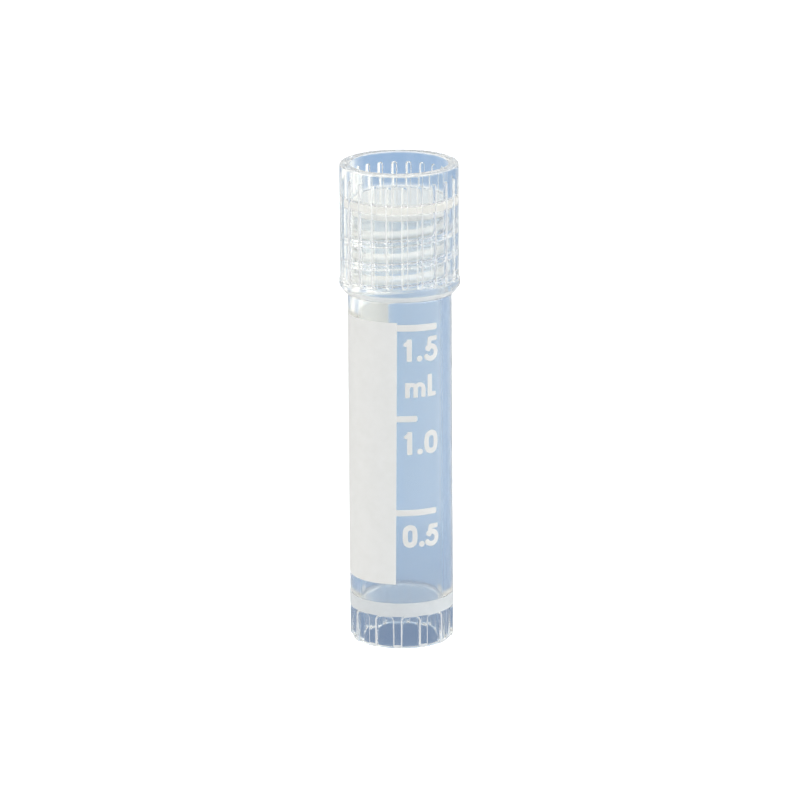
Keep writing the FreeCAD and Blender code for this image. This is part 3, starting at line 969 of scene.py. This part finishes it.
for obj in make_print():
    obj.data.materials.append({"foot_band": ink_blue_shade, "writing_patch": ink}.get(obj.name, ink_dimmed))
    # painted light: the warm cream copy of the print for its inner side
    obj.data.materials.append(ink_lit_back)  # the side that lies on the tube
    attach(obj, "vial")

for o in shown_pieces():
    print("tris", o.name, sum(len(p.vertices) - 2 for p in o.data.polygons))

# ------------------------------------------------------------------ stage
scene = bpy.context.scene


def stage_floor():
    half = 6.0
    mesh = bpy.data.meshes.new("studio_floor")
    mesh.from_pydata(
        [(-half, -half, 0), (half, -half, 0), (half, half, 0), (-half, half, 0)], [], [(0, 1, 2, 3)]
    )
    floor = bpy.data.objects.new("studio_floor", mesh)
    scene.collection.objects.link(floor)
    floor.location = (0, 0, -0.00002)
    m, tree, s, _ = new_material("pale_floor")
    grain = noise(tree, 60.0, 4.0, 0.6)
    tree.links.new(
        tinted(tree, grain.outputs["Fac"], (0.90, 0.905, 0.91), (0.92, 0.92, 0.92)), s.inputs["Base Color"]
    )
    s.inputs["Roughness"].default_value = 0.8
    s.inputs["Specular IOR Level"].default_value = 0.1
    s.inputs["Emission Color"].default_value = (0.97, 0.985, 1.0, 1)
    seen = tree.nodes.new("ShaderNodeLightPath")
    tree.links.new(ranged(tree, seen.outputs["Is Camera Ray"], 0.0, 0.9), s.inputs["Emission Strength"])
    floor.data.materials.append(m)
    floor.visible_transmission = False
    floor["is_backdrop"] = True
    return floor


stage_floor()


def stage_card():
    """A round blue-grey card on the floor that only shows through the clear plastic. It glows by itself, and its
    darkening under the foot is a painted contact shadow; it is as light as the surroundings at its edge."""
    rings, count = [0.0, 3, 5, 7, 9, 12, 15, 19, 24, 32, 40], 64
    pts, faces = [(0.0, 0.0, 0.0)], []
    for r in rings[1:]:
        pts += [(r * MM * math.cos(2 * math.pi * i / count), r * MM * math.sin(2 * math.pi * i / count), 0.0) for i in range(count)]
    for i in range(count):
        faces.append((0, 1 + i, 1 + (i + 1) % count))
        for k in range(len(rings) - 2):
            a, b = 1 + k * count, 1 + (k + 1) * count
            faces.append((a + i, b + i, b + (i + 1) % count, a + (i + 1) % count))
    mesh = bpy.data.meshes.new("shadow_card")
    mesh.from_pydata(pts, [], faces)
    card = bpy.data.objects.new("shadow_card", mesh)
    scene.collection.objects.link(card)
    card.location = (0, 0, -0.00001)
    m = bpy.data.materials.new("shadow_card")
    m.use_nodes = True
    tree = m.node_tree
    tree.nodes.clear()
    out = tree.nodes.new("ShaderNodeOutputMaterial")
    glow = tree.nodes.new("ShaderNodeEmission")
    tree.links.new(glow.outputs["Emission"], out.inputs["Surface"])
    where = tree.nodes.new("ShaderNodeTexCoord")
    length = tree.nodes.new("ShaderNodeVectorMath")
    length.operation = "LENGTH"
    tree.links.new(where.outputs["Object"], length.inputs[0])
    ramp = tree.nodes.new("ShaderNodeValToRGB")
    # painted shadow: darkest under the foot, lighter outwards
    stops = [
        (0.0, (0.178, 0.253, 0.392)),
        (4.5, (0.187, 0.266, 0.405)),
        (8.0, (0.205, 0.295, 0.45)),
        (12.0, (0.23, 0.33, 0.49)),
        (20.0, (0.30, 0.43, 0.62)),
        (40.0, (0.34, 0.49, 0.70)),
    ]
    while len(ramp.color_ramp.elements) < len(stops):
        ramp.color_ramp.elements.new(0.5)
    for e, (at, colour) in zip(ramp.color_ramp.elements, stops):
        e.position = at / 40.0
        e.color = (*colour, 1)
    tree.links.new(ranged(tree, length.outputs["Value"], 0.0, 1.0, 0.0, 0.04), ramp.inputs["Fac"])
    tree.links.new(ramp.outputs["Color"], glow.inputs["Color"])
    mesh.materials.append(m)
    card.visible_camera = False
    card.visible_diffuse = False
    card.visible_glossy = False
    card.visible_shadow = False
    card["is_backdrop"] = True


stage_card()


def make_world():
    world = bpy.data.worlds.new("soft_studio")
    scene.world = world
    world.use_nodes = True
    tree = world.node_tree
    tree.nodes.clear()
    out = tree.nodes.new("ShaderNodeOutputWorld")
    where = tree.nodes.new("ShaderNodeTexCoord")
    axes = tree.nodes.new("ShaderNodeSeparateXYZ")
    tree.links.new(where.outputs["Generated"], axes.inputs["Vector"])

    def ramp(source, stops, lo=-1.0, hi=1.0):
        r = tree.nodes.new("ShaderNodeMapRange")
        r.inputs["From Min"].default_value = lo
        r.inputs["From Max"].default_value = hi
        tree.links.new(source, r.inputs["Value"])
        c = tree.nodes.new("ShaderNodeValToRGB")
        while len(c.color_ramp.elements) < len(stops):
            c.color_ramp.elements.new(0.5)
        for e, (at, colour) in zip(c.color_ramp.elements, stops):
            e.position = at
            e.color = (*colour, 1)
        tree.links.new(r.outputs["Result"], c.inputs["Fac"])
        return c.outputs["Color"]

    def blended(a, b, factor):
        m = tree.nodes.new("ShaderNodeMix")
        m.data_type = "RGBA"
        if factor is None:
            m.blend_type = "MULTIPLY"
            m.inputs["Factor"].default_value = 1.0
        else:
            tree.links.new(factor, m.inputs["Factor"])
        tree.links.new(a, m.inputs["A"])
        tree.links.new(b, m.inputs["B"])
        return m.outputs["Result"]

    # what lights the object and shows in its gloss
    side = ramp(axes.outputs["X"], [(0.0, (0.90, 0.89, 0.86)), (0.5, (0.80, 0.83, 0.86)), (0.85, (0.74, 0.79, 0.83)), (1.0, (0.40, 0.50, 0.58))])
    depth = ramp(axes.outputs["Y"], [(0.0, (0.70, 0.77, 0.85)), (0.45, (0.92, 0.94, 0.97)), (1.0, (1.0, 1.0, 1.0))])
    open_light = tree.nodes.new("ShaderNodeBackground")
    path = tree.nodes.new("ShaderNodeLightPath")
    level = tree.nodes.new("ShaderNodeMapRange")
    level.inputs["To Min"].default_value = 0.85  # in the gloss
    level.inputs["To Max"].default_value = 0.27  # on matt faces, which the lamps light as well
    tree.links.new(path.outputs["Is Diffuse Ray"], level.inputs["Value"])
    tree.links.new(level.outputs["Result"], open_light.inputs["Strength"])
    tree.links.new(blended(side, depth, None), open_light.inputs["Color"])
    # what the clear plastic shows: a blue card, white above and far below it, and white
    # strips between its parts (half values here, because the light below doubles them)
    card = ramp(
        axes.outputs["Z"],
        [
            (0.0, (0.50, 0.51, 0.52)),
            (0.20, (0.48, 0.49, 0.50)),
            (0.26, (0.23, 0.295, 0.39)),
            (0.29, (0.18, 0.255, 0.37)),
            (0.352, (0.18, 0.255, 0.37)),
            (0.3715, (0.222, 0.305, 0.398)),
            (0.3765, (0.185, 0.262, 0.355)),
            (0.3785, (0.125, 0.195, 0.29)),
            (0.383, (0.13, 0.20, 0.295)),
            (0.3855, (0.163, 0.243, 0.365)),
            (0.390, (0.155, 0.235, 0.355)),
            (0.49, (0.145, 0.215, 0.31)),
            (0.54, (0.16, 0.23, 0.32)),
            (0.64, (0.24, 0.32, 0.41)),
            (0.71, (0.48, 0.50, 0.51)),
            (0.78, (0.70, 0.70, 0.70)),
            (1.0, (0.95, 0.95, 0.95)),
        ],
    )
    flank = ramp(axes.outputs["X"], [(0.0, (0.76, 0.735, 0.665)), (0.47, (0.70, 0.68, 0.62)), (0.53, (0.52, 0.515, 0.50)), (1.0, (0.48, 0.485, 0.49))])
    turn = tree.nodes.new("ShaderNodeMath")
    turn.operation = "ARCTAN2"
    tree.links.new(axes.outputs["X"], turn.inputs[0])
    tree.links.new(axes.outputs["Y"], turn.inputs[1])
    strips = [
        (-180, 0.0), (-170, 0.2), (-160, 0.8), (-148, 0.8), (-140, 0.1), (-128, 0.1), (-118, 0.8), (-104, 0.9),
        (-97, 0.2), (-83, 0.2), (-76, 0.9), (-58, 0.9), (-51, 0.2), (-42, 0.2), (-35, 1.0), (-20, 1.0),
        (-14, 0.76), (-10.5, 0.42), (-8, 0.17), (-4, 0.0), (36, 0.0), (52, 0.05), (62, 0.2), (74, 0.25),
        (83, 0.15), (97, 0.15), (104, 0.5), (120, 0.5), (130, 0.1), (142, 0.1), (155, 0.8), (180, 0.0),
    ]
    share = ramp(turn.outputs["Value"], [((a + 180) / 360, (v, v, v)) for a, v in strips], -math.pi, math.pi)
    card_light = tree.nodes.new("ShaderNodeBackground")
    card_light.inputs["Strength"].default_value = 2.0
    tree.links.new(blended(card, flank, share), card_light.inputs["Color"])
    # the camera's own background
    plain = tree.nodes.new("ShaderNodeBackground")
    plain.inputs["Color"].default_value = (1, 1, 1, 1)
    plain.inputs["Strength"].default_value = 1.0
    first = tree.nodes.new("ShaderNodeMixShader")
    tree.links.new(path.outputs["Is Transmission Ray"], first.inputs["Fac"])
    tree.links.new(open_light.outputs["Background"], first.inputs[1])
    tree.links.new(card_light.outputs["Background"], first.inputs[2])
    second = tree.nodes.new("ShaderNodeMixShader")
    tree.links.new(path.outputs["Is Camera Ray"], second.inputs["Fac"])
    tree.links.new(first.outputs["Shader"], second.inputs[1])
    tree.links.new(plain.outputs["Background"], second.inputs[2])
    tree.links.new(second.outputs["Shader"], out.inputs["Surface"])


make_world()


def soft_box(name, place, target, width, height, level, colour):
    """An area light whose surface has the given brightness."""
    lamp = bpy.data.lights.new(name, "AREA")
    lamp.shape = "RECTANGLE"
    lamp.size, lamp.size_y = width, height
    lamp.energy = level * math.pi * width * height
    lamp.color = colour
    obj = bpy.data.objects.new(name, lamp)
    scene.collection.objects.link(obj)
    obj.location = place
    obj.rotation_mode = "QUATERNION"
    obj.rotation_quaternion = (Vector(target) - Vector(place)).to_track_quat("-Z", "Y")
    obj.visible_camera = False
    obj.visible_transmission = False
    lamp.use_shadow = False  # so that it also lights what lies inside the clear plastic
    return obj


middle = ((cad_lo + cad_hi) / 2).to_tuple()
soft_box("key_left", (-1.1, -0.5, 0.45), middle, 0.75, 0.9, 3.75, (1.0, 0.975, 0.935))
soft_box("key_right", (1.15, -0.35, 0.45), middle, 0.9, 0.9, 2.85, (1.0, 0.975, 0.93))
soft_box("front", (0.9, -0.95, 0.50), middle, 1.0, 0.9, 1.5, (0.94, 0.97, 1.0))
soft_box("top", (0.0, 0.1, 1.2), middle, 0.9, 0.9, 0.9, (1.0, 1.0, 1.0))

# ------------------------------------------------------------------ camera
camera_data = bpy.data.cameras.new("camera")
camera = bpy.data.objects.new("camera", camera_data)
scene.collection.objects.link(camera)
scene.camera = camera
camera_data.sensor_width = 36.0
camera_data.lens = 264.15
camera_data.clip_start, camera_data.clip_end = 0.05, 20.0
camera.location = (0.0, -0.559375, 0.177036)
aim = Vector((-0.00005, 0.0, 0.02421))
camera.rotation_mode = "QUATERNION"
look = (aim - camera.location).to_track_quat("-Z", "Y")
camera.rotation_quaternion = look @ Quaternion((0.0, 0.0, 1.0), math.radians(-0.374))

# ------------------------------------------------------------------ picture
scene.view_settings.view_transform = "Standard"
scene.view_settings.look = "None"
scene.view_settings.exposure = 0.0
scene.view_settings.gamma = 1.0
scene.cycles.max_bounces = 24
scene.cycles.transmission_bounces = 24
scene.cycles.glossy_bounces = 8
scene.cycles.diffuse_bounces = 4
scene.cycles.transparent_max_bounces = 16
scene.cycles.sample_clamp_indirect = 6.0

lo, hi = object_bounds()
